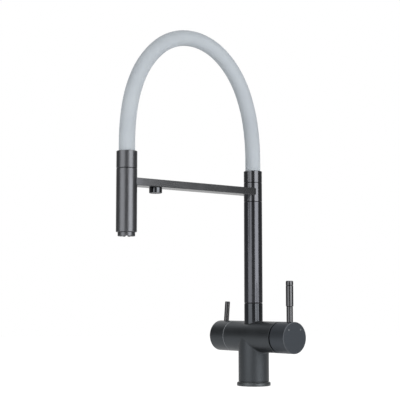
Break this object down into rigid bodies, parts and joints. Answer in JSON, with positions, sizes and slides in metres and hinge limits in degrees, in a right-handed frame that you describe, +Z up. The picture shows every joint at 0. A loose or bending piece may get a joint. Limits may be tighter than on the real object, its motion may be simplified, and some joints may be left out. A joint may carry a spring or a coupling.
{
  "type": "filter kitchen mixer tap",
  "caption": "Tall kitchen mixer tap with a soft arched hose, a magnetic spray head dock on a side arm, a filtered water outlet and two lever handles.",
  "frame": {"origin": "centre of the base ring, on the deck", "axes": "+Z up along the column, -Y towards the spray head over the sink, +X towards the mixer lever"},
  "size_m": [0.1672, 0.2762, 0.5263],
  "materials": {
    "dark_gunmetal": "matt dark gunmetal PVD over brass",
    "brushed_gunmetal": "brushed gunmetal PVD",
    "satin_steel": "satin stainless steel",
    "nickel_magnet": "nickel plated magnet",
    "brass": "turned brass",
    "grey_silicone": "matt silicone",
    "black_rubber": "matt rubber",
    "white_acetal": "moulded acetal",
    "white_ceramic": "polished alumina ceramic",
    "pale_plastic": "moulded ABS"
  },
  "bodies": {
    "tap_base": {"tap_body": "dark_gunmetal", "base_ring": "dark_gunmetal", "base_seal": "black_rubber", "swivel_washer": "black_rubber", "swivel_grub_screw": "satin_steel", "filter_tube_seal": "black_rubber", "cartridge_seals": "black_rubber", "cartridge_base": "white_acetal", "cartridge_housing": "white_acetal", "cartridge_fixed_disc": "white_ceramic", "cartridge_nut": "brass", "dome_ring": "dark_gunmetal", "filter_valve_seal": "black_rubber", "filter_fixed_disc": "white_ceramic", "filter_valve_housing": "brass", "filter_valve_nut": "brass"},
    "mixer_carrier": {"cartridge_carrier": "white_acetal", "tilt_pin": "satin_steel"},
    "disc_slider": {"cartridge_moving_disc": "white_ceramic", "disc_driver": "white_acetal"},
    "mixer_handle": {"lever_stem": "brass", "mixer_cap": "dark_gunmetal", "mixer_grub_screw": "satin_steel", "mixer_lever_rod": "brushed_gunmetal", "mixer_lever_grip": "brushed_gunmetal", "mixer_lever_tip": "brushed_gunmetal", "temperature_marks": "pale_plastic"},
    "filter_handle": {"filter_moving_disc": "white_ceramic", "filter_spindle": "brass", "filter_cap": "dark_gunmetal", "filter_grub_screw": "satin_steel", "filter_lever": "brushed_gunmetal"},
    "spout": {"swivel_spigot": "brass", "swivel_o_rings": "black_rubber", "column_tube": "dark_gunmetal", "filter_tube": "satin_steel", "arm_ring": "dark_gunmetal", "arm_nipple": "brass", "arm": "brushed_gunmetal", "filter_outlet": "dark_gunmetal", "outlet_seal": "black_rubber", "filter_aerator": "pale_plastic", "dock_cradle": "brushed_gunmetal", "dock_magnet": "nickel_magnet", "dock_screws": "satin_steel", "column_collar": "dark_gunmetal", "column_barb": "brass", "hose_sleeve": "grey_silicone", "inner_hose": "black_rubber"},
    "hose_end": {"head_collar": "brushed_gunmetal", "head_barb": "brass"},
    "spray_head": {"head_barrel": "brushed_gunmetal", "head_core": "white_acetal", "head_magnet_ring": "nickel_magnet", "check_valve": "white_acetal"},
    "nozzle": {"nozzle_ring": "brushed_gunmetal", "spray_plate": "black_rubber"}
  },
  "joints": [
    {"name": "spout_swivel", "type": "hinge", "parent": "tap_base", "child": "spout", "pos_m": [0, 0, 0.1236], "axis": [0, 0, 1], "range_deg": [-180, 180]},
    {"name": "mixer_temperature", "type": "hinge", "parent": "tap_base", "child": "mixer_carrier", "pos_m": [0.04, 0, 0.0735], "axis": [1, 0, 0], "range_deg": [-50, 50]},
    {"name": "mixer_flow", "type": "hinge", "parent": "mixer_carrier", "child": "mixer_handle", "pos_m": [0.04, 0, 0.0735], "axis": [0, 1, 0], "range_deg": [0, 16]},
    {"name": "disc_slide", "type": "slide", "parent": "mixer_carrier", "child": "disc_slider", "axis": [0, 0, 1], "range_m": [0, 0.0018]},
    {"name": "filter_turn", "type": "hinge", "parent": "tap_base", "child": "filter_handle", "pos_m": [-0.0635, 0, 0.0735], "axis": [1, 0, 0], "range_deg": [0, 90]},
    {"name": "head_swing", "type": "hinge", "parent": "spout", "child": "hose_end", "pos_m": [0, -0.118, 0.5145], "axis": [-1, 0, 0], "range_deg": [0, 25], "deforming": ["hose_sleeve", "inner_hose"]},
    {"name": "head_turn", "type": "hinge", "parent": "hose_end", "child": "spray_head", "pos_m": [0, -0.236, 0.3117], "axis": [0, 0, 1], "continuous": true},
    {"name": "nozzle_twist", "type": "hinge", "parent": "spray_head", "child": "nozzle", "pos_m": [0, -0.236, 0.2225], "axis": [0, 0, 1], "range_deg": [0, 60]}
  ],
  "couplings": [
    {"joint": "disc_slide", "follows": "mixer_flow", "m_per_rad": 0.0063}
  ]
}
